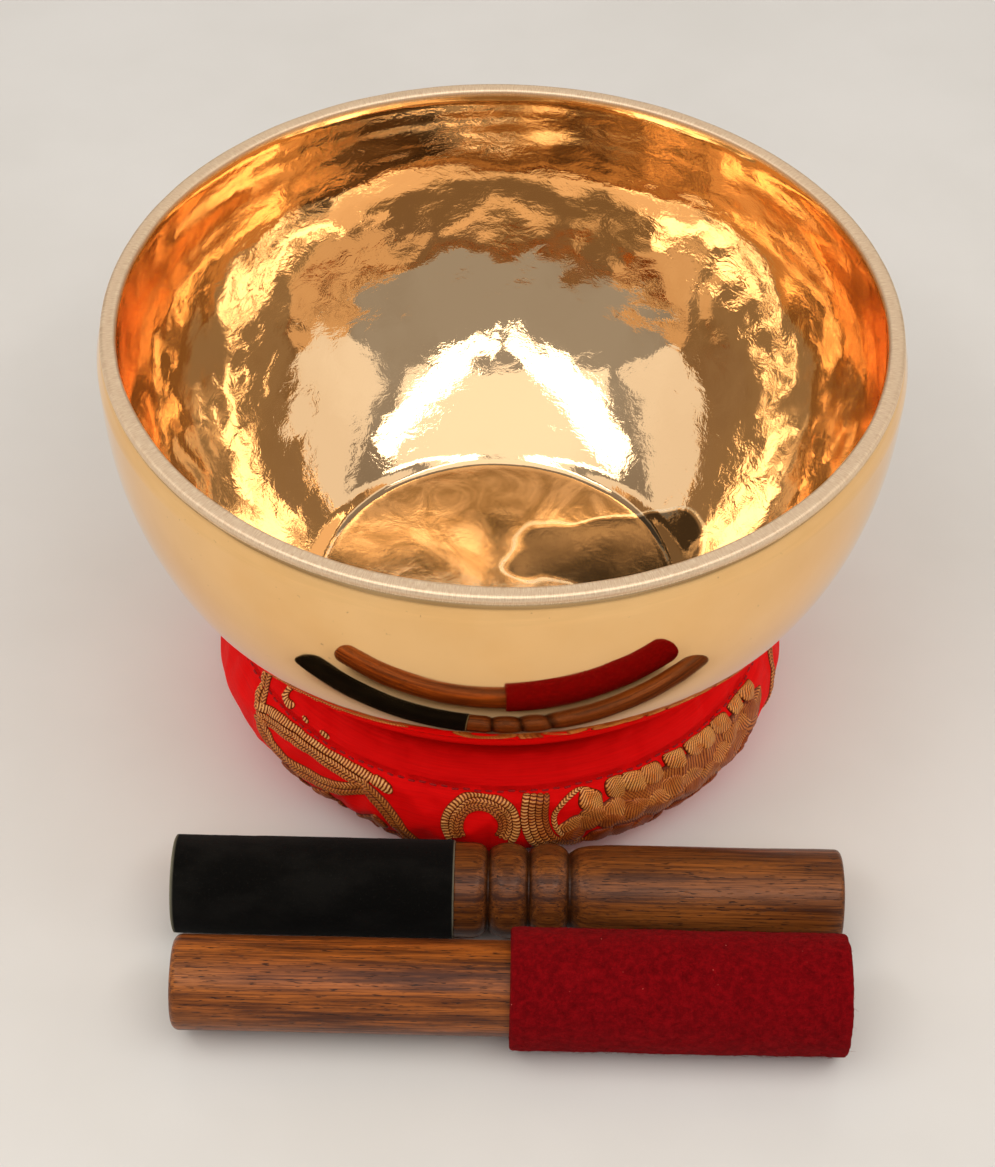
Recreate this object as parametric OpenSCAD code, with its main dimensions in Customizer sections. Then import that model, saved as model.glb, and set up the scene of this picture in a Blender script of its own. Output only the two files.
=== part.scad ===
// Hand-hammered singing bowl on a ring cushion, with a suede-wrapped and a felt-wrapped mallet.
// Floor at z = 0. The origin lies under the middle of the whole set, +Z is up, the player sits towards -Y.

/* [Bowl] */
// Outer radius at the rim
rim_r = 117.5; // [116:0.5:118.5]
// How far the belly bulges past the rim
belly_out = 1.5; // [1:0.1:2]
// Height of the belly's widest line below the rim
belly_drop = 8; // [7:0.5:10]
// Height of the bowl, from its base to its rim
bowl_h = 118; // [116:0.5:119]
// Radius of the flat base
base_r = 55; // [52:0.5:56]
// Thickness of the wall
wall = 3; // [2.6:0.1:3.4]
// Width of the thickened flat rim
lip_w = 4.4; // [4:0.1:4.8]
// Height of the thickened lip
lip_h = 5; // [4:0.5:6]
// Height of the bowl's base over the floor
bowl_lift = 32; // [32:0.5:33]

/* [Cushion] */
// Outer radius of the ring cushion
ring_r = 90.5; // [90:0.25:91]
// Radius of the hole in the ring
ring_hole_r = 36; // [34:0.5:38]
// Height of the ring's widest line
ring_mid_z = 23; // [22.5:0.25:24]
// Half of the height that the ring would have if nothing pressed on it
ring_half_h = 26; // [25.5:0.25:27]
// Thickness of the cover cloth with its lining
cloth = 1.2; // [1:0.1:1.4]
// Gap under the bowl's base
base_gap = 0.5; // [0.4:0.1:1]
// Room between the bowl's wall and the dish of the cushion, on the radius
dish_gap = 4; // [4:0.25:5]
// How far the cushion lies off the bowl's axis, towards the player
ring_off = 3; // [2:0.25:3]
// Width of a seam, measured round the section as an angle
seam_angle = 2; // [1.6:0.2:2.4]

/* [Suede mallet] */
// Length of the mallet with the turned beads
suede_mallet_l = 200; // [196:1:204]
// Length of the suede sleeve
suede_l = 84; // [80:1:88]
// Outer radius of the suede sleeve
suede_r = 14.8; // [14.6:0.1:15]
// Thickness of the suede
suede_t = 0.9; // [0.7:0.1:1.1]
// Radius of the bare end of the mallet
barrel_r = 14.2; // [14:0.1:14.4]
// Depth of the grooves beside the beads
groove_d = 2.4; // [2:0.1:2.8]
// Width of one bead
bead_w = 11.6; // [11:0.1:12]
// Distance of the suede mallet's axis from the bowl's axis
suede_mallet_out = 108; // [108:0.25:109]

/* [Felt mallet] */
// Length of the mallet with the felt head
felt_mallet_l = 195; // [192:1:198]
// Length of the felt sleeve
felt_l = 97.5; // [94:0.5:100]
// Outer radius of the felt sleeve
felt_r = 17.8; // [17.5:0.1:18]
// Radius of the wooden stick
stick_r = 13.8; // [13.5:0.1:14]
// Distance of the felt mallet's axis from the bowl's axis
felt_mallet_out = 146; // [145.75:0.25:147]

/* [Hidden] */
$fn = 96;
steps = 28;

// Bowl: heights of the base, the belly and the rim, and the two exponents of the wall's curve
belly_r = rim_r + belly_out;
rim_z = bowl_lift + bowl_h;
belly_z = rim_z - belly_drop;
wall_m = 1.1;
wall_n = 2.47;
rim_round = 0.7;
corner_in = 1.2;

// The bowl's axis in Y, which puts the origin midway between the bowl's back and the felt mallet's front
bowl_y = (felt_mallet_out + felt_r - belly_r) / 2;
ring_shift_x = 1;

// Cushion section: its middle, half width, roundness and the directions of its four seams
ring_mid_r = (ring_r + ring_hole_r) / 2;
ring_half_w = (ring_r - ring_hole_r) / 2;
ring_power = 2.1;
outer_seam_a = 33;
hole_top_seam_a = 163;
hole_base_seam_a = 238;
base_seam_a = 302;
sector_reach = 60;

// Mallets: middle of each along X, end roundings, and the slit where each wrapped sleeve meets itself
suede_mallet_x = 5;
felt_mallet_x = 6;
end_round = 2.4;
sleeve_round = 1.2;
felt_overhang = 1;
slit_w = 0.3;
groove_w = 1;

// The curve of the bowl's wall, from the belly down to a base of radius r0: a superellipse quarter
function wall_curve(r1, z1, r0, z0) = [
  for (i = [0 : steps])
    let (a = 90 * i / steps)
    [r0 + (r1 - r0) * pow(cos(a), 2 / wall_m), z1 - (z1 - z0) * pow(sin(a), 2 / wall_n)]
];

// The same points from last to first
function backwards(list) = [for (i = [len(list) - 1 : -1 : 0]) list[i]];

// The bowl's outer side as a solid outline, grown by g on the radius and by down below the base
function bowl_outline(g, down) = concat(
  wall_curve(belly_r + g, belly_z, base_r + g, bowl_lift - down),
  [[0, bowl_lift - down], [0, rim_z], [belly_r + g, rim_z]]
);

// The cushion's section without the bowl in it, set in by t: a closed superellipse
function ring_curve(t) = [
  for (a = [0 : 360 / (4 * steps) : 359.9])
    let (c = cos(a), s = sin(a))
    [
      ring_mid_r + (ring_half_w - t) * sign(c) * pow(abs(c), 2 / ring_power),
      ring_mid_z + (ring_half_h - t) * sign(s) * pow(abs(s), 2 / ring_power)
    ]
];

// A quarter circle of radius r about [x, y], from angle a
function corner(x, y, r, a) = [for (i = [0 : 4]) [x + r * cos(a + i * 22.5), y + r * sin(a + i * 22.5)]];

// The top half of one turned bead that starts at length x
function bead(x, w, r) = [
  for (i = [0 : 8])
    let (a = 180 - i * 22.5)
    [r - groove_d + groove_d * pow(sin(a), 0.7), x + w / 2 + w / 2 * cos(a)]
];

module bowl() {
  inner_z = bowl_lift + wall;
  outer_side = wall_curve(belly_r, belly_z, base_r, bowl_lift);
  inner_side = wall_curve(belly_r - wall, belly_z, base_r - corner_in, inner_z);
  color("goldenrod")
    translate([0, bowl_y, 0])
      rotate_extrude()
        polygon(concat(
          [[0, bowl_lift]],
          backwards(outer_side),
          [[rim_r, rim_z - rim_round], [rim_r - rim_round, rim_z]],
          [[rim_r - lip_w + rim_round, rim_z], [rim_r - lip_w, rim_z - rim_round]],
          [[rim_r - lip_w, rim_z - lip_h / 2]],
          inner_side,
          [[0, inner_z]]
        ));
}

// The cushion's section set in by t, with the dish for the bowl taken out of it and a flat base
module ring_section(t) {
  difference() {
    polygon(ring_curve(t));
    polygon(bowl_outline(dish_gap + t, base_gap + t));
    translate([0, t - sector_reach])
      square([ring_r + 1, sector_reach]);
  }
}

// The part of the plane between two directions from the middle of the section
module sector(a0, a1) {
  parts = 6;
  polygon(concat(
    [[ring_mid_r, ring_mid_z]],
    [
      for (i = [0 : parts])
        let (a = a0 + (a1 - a0) * i / parts)
        [ring_mid_r + sector_reach * cos(a), ring_mid_z + sector_reach * sin(a)]
    ]
  ));
}

// One strip of the cushion's cover, all the way round the ring
module cover_strip(a0, a1) {
  translate([ring_shift_x, bowl_y - ring_off, 0])
    rotate_extrude()
      intersection() {
        difference() {
          ring_section(0);
          ring_section(cloth);
        }
        sector(a0, a1);
      }
}

module seam(a) {
  cover_strip(a - seam_angle / 2, a + seam_angle / 2);
}

module panel(a0, a1) {
  cover_strip(a0 + seam_angle / 2, a1 - seam_angle / 2);
}

module cushion_filling() {
  color("white")
    translate([ring_shift_x, bowl_y - ring_off, 0])
      rotate_extrude()
        ring_section(cloth);
}

module cushion_top_panel() {
  color("red") panel(outer_seam_a, hole_top_seam_a);
}

module cushion_side_panel() {
  color("firebrick") panel(base_seam_a, 360 + outer_seam_a);
}

module cushion_base_panel() {
  color("darkred") panel(hole_base_seam_a, base_seam_a);
}

module cushion_hole_panel() {
  color("crimson") panel(hole_top_seam_a, hole_base_seam_a);
}

module outer_seam_thread() {
  color("gold") seam(outer_seam_a);
}

module base_seam_thread() {
  color("gold") seam(base_seam_a);
}

module hole_base_seam_thread() {
  color("gold") seam(hole_base_seam_a);
}

module hole_top_seam_thread() {
  color("gold") seam(hole_top_seam_a);
}

// Lays a mallet, turned about +Z with its left end at z = 0, along X on the floor
module lay_mallet(middle_x, length, out, axis_z) {
  translate([middle_x - length / 2, bowl_y - out, axis_z])
    rotate([0, 90, 0])
      children();
}

// A sheet wrapped round a stick: a tube with rounded outer edges and a slit along the underside
module wrapped_sleeve(r_in, r_out, length, edge) {
  difference() {
    rotate_extrude()
      polygon(concat(
        [[r_in, 0]],
        corner(r_out - edge, edge, edge, -90),
        corner(r_out - edge, length - edge, edge, 0),
        [[r_in, length]]
      ));
    translate([0, -slit_w / 2, -1])
      cube([r_out + 1, slit_w, length + 2]);
  }
}

module suede_mallet_stick() {
  core_r = suede_r - suede_t;
  band_x = suede_l + bead_w * 0.85;
  first_x = band_x + groove_w;
  second_x = first_x + bead_w + groove_w;
  barrel_x = second_x + bead_w + groove_w;
  color("saddlebrown")
    lay_mallet(suede_mallet_x, suede_mallet_l, suede_mallet_out, suede_r)
      rotate_extrude()
        polygon(concat(
          [[0, 0], [core_r, 0], [core_r, suede_l], [barrel_r, suede_l]],
          corner(barrel_r - groove_d, band_x - groove_d, groove_d, 0),
          bead(first_x, bead_w, barrel_r),
          bead(second_x, bead_w, barrel_r),
          [[barrel_r - groove_d, barrel_x], [barrel_r - groove_d / 4, barrel_x + groove_d]],
          [[barrel_r, barrel_x + 3 * groove_d]],
          corner(barrel_r - end_round, suede_mallet_l - end_round, end_round, 0),
          [[0, suede_mallet_l]]
        ));
}

module suede_sleeve() {
  color([0.08, 0.08, 0.08])
    lay_mallet(suede_mallet_x, suede_mallet_l, suede_mallet_out, suede_r)
      wrapped_sleeve(suede_r - suede_t, suede_r, suede_l, suede_t / 2);
}

module felt_mallet_stick() {
  color("sienna")
    lay_mallet(felt_mallet_x, felt_mallet_l, felt_mallet_out, felt_r)
      rotate_extrude()
        polygon(concat(
          [[0, 0]],
          corner(stick_r - end_round, end_round, end_round, -90),
          [[stick_r, felt_mallet_l - felt_overhang], [0, felt_mallet_l - felt_overhang]]
        ));
}

module felt_sleeve() {
  color("darkred")
    lay_mallet(felt_mallet_x, felt_mallet_l, felt_mallet_out, felt_r)
      translate([0, 0, felt_mallet_l - felt_l])
        wrapped_sleeve(stick_r, felt_r, felt_l, sleeve_round);
}

bowl();
cushion_filling();
cushion_top_panel();
cushion_side_panel();
cushion_base_panel();
cushion_hole_panel();
outer_seam_thread();
base_seam_thread();
hole_base_seam_thread();
hole_top_seam_thread();
suede_mallet_stick();
suede_sleeve();
felt_mallet_stick();
felt_sleeve();
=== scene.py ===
"""The looks of the singing bowl set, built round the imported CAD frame.

Lengths are millimetres in the CAD frame unless a comment says metres, and MM turns them into metres.
"""

import math

import bpy
import numpy as np
from mathutils import Matrix, Vector, noise


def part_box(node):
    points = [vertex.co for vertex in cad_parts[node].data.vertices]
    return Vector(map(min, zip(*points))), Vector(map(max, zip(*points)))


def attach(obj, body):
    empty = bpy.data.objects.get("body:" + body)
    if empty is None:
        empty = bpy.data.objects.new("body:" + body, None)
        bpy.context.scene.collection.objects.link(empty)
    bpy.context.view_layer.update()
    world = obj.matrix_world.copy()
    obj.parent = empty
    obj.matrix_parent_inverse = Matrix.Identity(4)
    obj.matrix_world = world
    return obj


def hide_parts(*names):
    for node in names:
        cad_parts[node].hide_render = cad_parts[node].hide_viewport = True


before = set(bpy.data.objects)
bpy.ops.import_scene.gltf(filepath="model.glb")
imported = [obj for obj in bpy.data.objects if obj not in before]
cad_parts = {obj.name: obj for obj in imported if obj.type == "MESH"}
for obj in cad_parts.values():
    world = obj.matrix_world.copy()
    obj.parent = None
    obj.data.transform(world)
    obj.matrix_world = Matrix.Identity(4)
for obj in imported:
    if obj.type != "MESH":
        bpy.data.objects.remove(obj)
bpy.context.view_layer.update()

MM = 0.001
TAU = 2 * math.pi


def cad_box(node):
    """Lowest and highest corner of a CAD node, in millimetres."""
    return [np.array(corner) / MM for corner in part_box(node)]


# ---------------- sizes taken from the frame

bowl_low, bowl_high = cad_box("bowl")
bowl_foot = (bowl_low + bowl_high) / 2 * (1, 1, 0)
belly_r = (bowl_high[1] - bowl_low[1]) / 2
base_z = bowl_low[2]
rim_z = bowl_high[2]
rim_r = belly_r - 1.5
belly_z = rim_z - 8
base_r = 55.0
wall = 3.0
lip_w = 4.4
bowl_floor_r = 58.0
WALL_POWERS = (1.1, 2.47)

ring_low, ring_high = cad_box("cushion_side_panel")
ring_foot = (ring_low + ring_high) / 2 * (1, 1, 0)
ring_r = (ring_high[1] - ring_low[1]) / 2
ring_hole_r = 36.0
ring_mid_r = (ring_r + ring_hole_r) / 2
ring_mid_z = 23.0
ring_half_w = (ring_r - ring_hole_r) / 2
ring_half_h = 26.0
RING_POWER = 2.1

suede_low, suede_high = cad_box("suede_sleeve")
suede_r = (suede_high[2] - suede_low[2]) / 2


# ---------------- mesh helpers

def ripple(points, size, seed=0.0):
    """Smooth noise from -1 to 1 at points, with bumps about size across: one number, or one for each axis."""
    scaled = np.asarray(points, float).reshape(-1, 3) / np.asarray(size, float) + 31.7 * seed
    values = np.array([noise.noise(p) for p in scaled.tolist()])
    return values.reshape(np.asarray(points).shape[:-1])


def dents(points, size, seed=0.0, sharpness=9.0):
    """Shallow overlapping dimples, 0 at the bottom of each, with soft ridges between them."""
    scaled = np.asarray(points, float).reshape(-1, 3) / np.asarray(size, float) + 17.3 * seed
    near = np.array([noise.voronoi(p)[0] for p in scaled.tolist()])
    soft = -np.log(np.exp(-sharpness * near).sum(1)) / sharpness
    return soft.reshape(np.asarray(points).shape[:-1])


def step(low, high, x):
    """Smooth step from 0 at low to 1 at high."""
    t = np.clip((x - low) / (high - low), 0, 1)
    return t * t * (3 - 2 * t)


def run_along(line):
    """The length along a line up to each of its points."""
    return np.concatenate([[0], np.cumsum(np.linalg.norm(np.diff(line, axis=0), axis=1))])


def evenly(points, spacing):
    """The line through points, cut into equal steps of about spacing."""
    points = np.asarray(points, float)
    run = run_along(points)
    keep = np.concatenate([[True], np.diff(run) > 1e-6])
    points, run = points[keep], run[keep]
    at = np.linspace(0, run[-1], max(3, round(run[-1] / spacing) + 1))
    return np.stack([np.interp(at, run, points[:, k]) for k in range(points.shape[1])], 1)


def evenly_closed(points, spacing):
    """A closed line cut into equal steps, without its first point again at the end."""
    return evenly(np.concatenate([points, points[:1]]), spacing)[:-1]


def left_normals(outline, closed=False):
    """Unit normals on the left of a line of points in a plane."""
    tangent = np.gradient(outline, axis=0)
    if closed:
        tangent = np.roll(outline, -1, 0) - np.roll(outline, 1, 0)
    tangent /= np.linalg.norm(tangent, axis=1)[:, None]
    return np.stack([-tangent[:, 1], tangent[:, 0]], 1)


def arc(centre, radius, start, end, count=7):
    """Points of a circle from one angle to another, in degrees."""
    angles = np.radians(np.linspace(start, end, count))
    return [(centre[0] + radius * math.cos(a), centre[1] + radius * math.sin(a)) for a in angles]


def spokes(count):
    """Angles all the way round Z, and the unit vectors that point along them."""
    angle = np.arange(count) * TAU / count
    return angle, np.stack([np.cos(angle), np.sin(angle), np.zeros(count)], 1)


def link(name, vertices, faces, material, values=None):
    """A smooth mesh object from points in millimetres, with point attributes from values."""
    mesh = bpy.data.meshes.new(name)
    mesh.from_pydata((np.asarray(vertices, float).reshape(-1, 3) * MM).tolist(), [], faces)
    mesh.polygons.foreach_set("use_smooth", [True] * len(mesh.polygons))
    for key, data in (values or {}).items():
        data = np.asarray(data, np.float32)
        if data.ndim == 2:
            attribute = mesh.attributes.new(key, "FLOAT_VECTOR", "POINT")
            attribute.data.foreach_set("vector", data.ravel())
        else:
            attribute = mesh.attributes.new(key, "FLOAT", "POINT")
            attribute.data.foreach_set("value", data)
    mesh.materials.append(material)
    mesh.update()
    piece = bpy.data.objects.new(name, mesh)
    bpy.context.scene.collection.objects.link(piece)
    return piece


def grid_faces(rows, columns, wrap_rows=False, first=0):
    """Quads of a grid that is closed round its columns, and round its rows too where wrap_rows is set."""
    row = np.arange(rows if wrap_rows else rows - 1)
    i, k = np.meshgrid(row, np.arange(columns), indexing="ij")
    here, below, beside = i * columns, (i + 1) % rows * columns, (k + 1) % columns
    quads = np.stack([here + k, here + beside, below + beside, below + k], -1)
    return (quads.reshape(-1, 4) + first).tolist()


def reversed_faces(faces):
    """The same faces, seen from their other side."""
    return [face[::-1] for face in faces]


def turned(name, outline, columns, centre, axis, material, relief=None, values=None, closed=False):
    """A closed solid of revolution. outline is a line of (radius, height) points with the solid on its right.
    It runs from one end of the axis to the other, or, where closed is set, round the section of a ring.
    relief(points, run, turn) is how far each point stands out, and values gives the point attributes."""
    outline = np.asarray(outline, float)
    normals = left_normals(outline, closed)
    angle, spoke = spokes(columns)
    along = np.array([0, 0, 1.0])
    if axis == "X":
        spoke, along = np.roll(spoke, 1, 1), np.roll(along, 1)
    points = outline[:, None, :1] * spoke + outline[:, None, 1:] * along
    outward = normals[:, None, :1] * spoke + normals[:, None, 1:] * along
    run = np.repeat(run_along(outline)[:, None], columns, 1)
    turn = np.repeat(angle[None], len(outline), 0)
    if relief is not None:
        points = points + relief(points, run, turn)[..., None] * outward
    extra = values(points, run, turn) if values is not None else {}
    flat = {key: data.reshape(-1, *data.shape[2:]) for key, data in extra.items()}
    vertices = points.reshape(-1, 3)
    faces = grid_faces(len(outline), columns, closed)
    if not closed:
        vertices = np.concatenate([vertices, [points[0].mean(0)], [points[-1].mean(0)]])
        flat = {key: np.concatenate([data, data[:1], data[-1:]]) for key, data in flat.items()}
        last = len(vertices) - 1
        end = (len(outline) - 1) * columns
        for k in range(columns):
            beside = (k + 1) % columns
            faces.append([last - 1, beside, k])
            faces.append([end + k, end + beside, last])
    return link(name, vertices + np.asarray(centre, float), reversed_faces(faces), material, flat)


# ---------------- material helper

class Nodes:
    """A node tree whose nodes are each made in one call."""

    def __init__(self, tree):
        self.tree = tree

    def feed(self, socket, value):
        if isinstance(value, bpy.types.NodeSocket):
            self.tree.links.new(value, socket)
        elif value is not None:
            socket.default_value = value

    def node(self, kind, settings=None, **inputs):
        made = self.tree.nodes.new("ShaderNode" + kind)
        for key, value in (settings or {}).items():
            setattr(made, key, value)
        for key, value in inputs.items():
            self.feed(made.inputs[key.replace("_", " ")], value)
        return made

    def math(self, operation, *values):
        made = self.node("Math", {"operation": operation})
        for socket, value in zip(made.inputs, values):
            self.feed(socket, value)
        return made.outputs[0]


class Recipe(Nodes):
    """One material's nodes."""

    def __init__(self, name, **sockets):
        self.material = bpy.data.materials.new(name)
        self.material.use_nodes = True
        super().__init__(self.material.node_tree)
        self.shader = self.tree.nodes["Principled BSDF"]
        self.finish(**sockets)

    def place(self, scale=(1, 1, 1), shift=(0, 0, 0)):
        """The point in the piece's own space, in metres, scaled along each axis and then shifted."""
        here = self.node("TexCoord").outputs["Object"]
        return self.node("Mapping", Vector=here, Scale=scale, Location=shift).outputs["Vector"]

    def attribute(self, name, output="Fac"):
        return self.node("Attribute", {"attribute_name": name}).outputs[output]

    def noise(self, where, scale, detail=3.0, roughness=0.55, distortion=0.0):
        made = self.node("TexNoise", Vector=where, Scale=scale, Detail=detail, Roughness=roughness)
        made.inputs["Distortion"].default_value = distortion
        return made.outputs["Fac"]

    def spread(self, value, low, high, to_low=0.0, to_high=1.0):
        """value from low..high onto to_low..to_high, eased and held at the ends."""
        made = self.node("MapRange", {"interpolation_type": "SMOOTHSTEP"}, Value=value)
        for socket, number in zip(("From Min", "From Max", "To Min", "To Max"), (low, high, to_low, to_high)):
            made.inputs[socket].default_value = number
        return made.outputs["Result"]

    def mix(self, factor, a, b):
        """Colour a where factor is 0 and colour b where it is 1."""
        made = self.node("Mix", {"data_type": "RGBA"})
        self.feed(made.inputs[0], factor)
        self.feed(made.inputs[6], a if isinstance(a, bpy.types.NodeSocket) else (*a, 1))
        self.feed(made.inputs[7], b if isinstance(b, bpy.types.NodeSocket) else (*b, 1))
        return made.outputs[2]

    def over(self, under, mask, share, colour):
        """colour laid over under where mask is 1, at share of its strength."""
        return self.mix(self.math("MULTIPLY", mask, share), under, colour)

    def bump(self, height, depth_mm, normal=None):
        made = self.node("Bump", Height=height, Distance=depth_mm * MM, Strength=1.0)
        self.feed(made.inputs["Normal"], normal)
        return made.outputs["Normal"]

    def finish(self, **sockets):
        for key, value in sockets.items():
            self.feed(self.shader.inputs[key.replace("_", " ")], value)
        return self.material


# ---------------- materials

def bronze_material():
    """Polished bell bronze: satin and brushed where the attribute rim is 1, browner and pecked where inside
    is 1, with brown swirls of painted reflection where pool is 1. Attribute stain is the depth in mm into a
    dark, pale-edged patch."""
    r = Recipe("hammered_bronze", Metallic=1.0)
    here = r.place()
    rim, inside, pool = r.attribute("rim"), r.attribute("inside"), r.attribute("pool")
    round_mm = r.attribute("round_mm", "Vector")
    tone = r.mix(r.spread(r.noise(here, 22, 4, 0.6), 0.35, 0.7), (0.97, 0.605, 0.265), (0.94, 0.56, 0.225))
    fleck = r.spread(r.noise(here, 520, 2, 0.5), 0.73, 0.78)
    tone = r.over(tone, fleck, 0.45, (0.30, 0.17, 0.07))
    # painted reflection: darker brown swirls on the floor disc, standing in for the brown walls it mirrors
    painted_reflection_swirls = r.spread(r.noise(here, 48, 5, 0.62, 1.6), 0.36, 0.66, 0.4, 0.95)
    tone = r.mix(inside, tone, (0.79, 0.54, 0.305))
    tone = r.over(tone, painted_reflection_swirls, pool, (0.31, 0.19, 0.085))
    depth = r.attribute("stain")
    stained = r.spread(depth, 0.0, 1.6)
    edge = r.math("MULTIPLY", r.spread(depth, -2.4, -1.2), r.spread(depth, -0.8, 0.0, 1.0, 0.0))
    tone = r.over(tone, stained, 0.92, (0.09, 0.062, 0.035))
    tone = r.over(tone, edge, 0.8, (0.98, 0.82, 0.58))
    brushed = r.node("Mapping", Vector=round_mm, Scale=(3.2, 0.35, 1.0)).outputs["Vector"]
    lines = r.noise(brushed, 1.0, 5, 0.7)
    satin = r.mix(r.spread(lines, 0.3, 0.72), (0.80, 0.57, 0.37), (1.0, 0.83, 0.62))
    haze = r.spread(r.noise(here, 35, 5, 0.65, 0.4), 0.35, 0.75, 0.03, 0.085)
    haze = r.math("ADD", haze, r.math("MULTIPLY", pool, 0.07))
    haze = r.math("ADD", haze, r.math("MULTIPLY", edge, 0.15))
    rough = r.node("Mix", {"data_type": "FLOAT"})
    r.feed(rough.inputs[0], rim)
    r.feed(rough.inputs[2], haze)
    r.feed(rough.inputs[3], r.spread(lines, 0.3, 0.75, 0.46, 0.62))
    pecked = r.noise(r.place(scale=(1, 1, 1.5)), 150, 4, 0.6, 0.5)
    fine = r.bump(r.math("MULTIPLY", pecked, inside), 0.10)
    fine = r.bump(r.math("MULTIPLY", lines, rim), 0.06, fine)
    return r.finish(Base_Color=r.mix(rim, tone, satin), Roughness=rough.outputs[0], Normal=fine)


def silk_material(name, bright, deep):
    """Red silk satin, slightly uneven in tone, woven along the directions of the attribute cloth_mm."""
    r = Recipe(name, Roughness=0.55, Specular_IOR_Level=0.06,
               Sheen_Weight=0.06, Sheen_Roughness=0.4, Sheen_Tint=(1.0, 0.10, 0.06, 1.0))
    mm = r.attribute("cloth_mm", "Vector")
    slub = r.node("Mapping", Vector=mm, Scale=(0.05, 1.3, 1.0)).outputs["Vector"]
    uneven = r.noise(slub, 1.0, 4, 0.6)
    broad = r.noise(r.place(), 26, 3)
    colour = r.mix(r.spread(uneven, 0.3, 0.75), bright, deep)
    colour = r.over(colour, r.spread(broad, 0.4, 0.7), 0.35, deep)
    split, thread_mm = r.node("SeparateXYZ", Vector=mm), 0.5
    warp, weft = [r.math("SINE", r.math("MULTIPLY", split.outputs[k], TAU / thread_mm)) for k in (0, 1)]
    return r.finish(Base_Color=colour, Normal=r.bump(r.math("MULTIPLY", warp, weft), 0.05))


def wood_material(name, light, dark, streak, figure, shift):
    """Oiled rosewood: long growth streaks along X, bent by a slow figure, with short dark pores. It is
    darkened with painted shade where the attribute groove is 1.
    """
    r = Recipe(name, Roughness=0.36, Coat_Weight=0.03, Coat_Roughness=0.25, Specular_IOR_Level=0.24)
    bend = r.noise(r.place(scale=(0.25, 1, 1), shift=(shift, 0, 0)), 40, 3)
    rings = r.noise(r.place(scale=(0.055, 1, 1), shift=(shift, shift, 0)), 300, 6, 0.66, figure)
    body = r.mix(r.spread(rings, 0.34, 0.66), dark, light)
    body = r.over(body, r.spread(bend, 0.45, 0.75), 0.5, streak)
    fibre = r.noise(r.place(scale=(0.022, 1, 1)), 1500, 4, 0.75)
    body = r.over(body, r.spread(fibre, 0.42, 0.62), 0.75, dark)
    pores = r.spread(r.noise(r.place(scale=(0.10, 1, 1)), 2600, 1, 0.5), 0.62, 0.7)
    body = r.over(body, pores, 0.9, [0.3 * c for c in dark])
    # painted shade: the wood is darkened in the turned grooves, where shade falls between the beads
    body = r.over(body, r.attribute("groove"), 0.8, [0.25 * c for c in dark])
    gloss = r.spread(fibre, 0.35, 0.65, 0.30, 0.44)
    height = r.math("SUBTRACT", r.math("MULTIPLY", fibre, 0.8), pores)
    return r.finish(Base_Color=body, Roughness=gloss, Normal=r.bump(height, 0.04))


def suede_material():
    """Black suede: a dull short nap, brushed lighter in places, and a pale cut edge."""
    r = Recipe("black_suede", Roughness=0.95, Specular_IOR_Level=0.06, Sheen_Weight=0.02, Sheen_Roughness=0.6)
    nap = r.noise(r.place(), 1400, 4, 0.75)
    brushed = r.noise(r.place(scale=(0.6, 1, 1)), 70, 4, 0.6)
    colour = r.mix(r.spread(brushed, 0.4, 0.7), (0.0026, 0.0024, 0.0020), (0.0070, 0.0064, 0.0054))
    colour = r.over(colour, r.spread(nap, 0.55, 0.8), 0.5, (0.024, 0.022, 0.019))
    colour = r.mix(r.attribute("cut"), colour, (0.30, 0.28, 0.20))
    return r.finish(Base_Color=colour, Normal=r.bump(nap, 0.12))


def felt_material():
    """Dark red wool felt with lighter loose fibres."""
    r = Recipe("red_felt", Roughness=0.98, Specular_IOR_Level=0.04,
               Sheen_Weight=0.08, Sheen_Roughness=0.55, Sheen_Tint=(1.0, 0.12, 0.12, 1.0))
    matted = r.noise(r.place(), 420, 6, 0.8, 0.3)
    fibres = r.noise(r.place(scale=(0.45, 1, 1)), 2300, 4, 0.8, 1.0)
    colour = r.mix(r.spread(matted, 0.36, 0.68), (0.135, 0.0012, 0.0028), (0.25, 0.0024, 0.0048))
    colour = r.over(colour, r.spread(fibres, 0.55, 0.8), 0.6, (0.42, 0.012, 0.016))
    specks = r.spread(r.noise(r.place(), 1150, 1, 0.5), 0.80, 0.84)
    colour = r.mix(specks, colour, (0.75, 0.16, 0.12))
    return r.finish(Base_Color=colour, Normal=r.bump(fibres, 0.25))


def gold_thread_material():
    """Gold thread: attribute rib is 1 on top of each rib, and tone goes from 0, bright, to 1, brown. Painted
    shade darkens the rib valleys and strip edges, and lit is a painted highlight on the rib tops.
    """
    r = Recipe("gold_thread", Metallic=0.1, Roughness=0.46, Specular_IOR_Level=0.25)
    rib, tone = r.attribute("rib"), r.attribute("tone")
    worn = r.spread(r.noise(r.place(), 260, 4, 0.6), 0.3, 0.75)
    bright = r.mix(worn, (1.0, 0.44, 0.10), (0.90, 0.25, 0.03))
    brown = r.mix(worn, (0.50, 0.095, 0.007), (0.26, 0.035, 0.003))
    gold = r.mix(tone, bright, brown)
    lit = r.math("MULTIPLY", r.spread(rib, 0.75, 1.0), r.spread(tone, 0.0, 0.6, 0.8, 0.05))
    gold = r.mix(lit, gold, (1.0, 0.74, 0.38))
    # painted shade: dark brown where rib is low, in the valleys between ribs and along the strip edges
    colour = r.mix(r.spread(rib, 0.15, 0.75), (0.15, 0.018, 0.003), gold)
    strands = r.noise(r.place(), 2600, 2)
    return r.finish(Base_Color=colour, Normal=r.bump(strands, 0.06))


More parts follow.
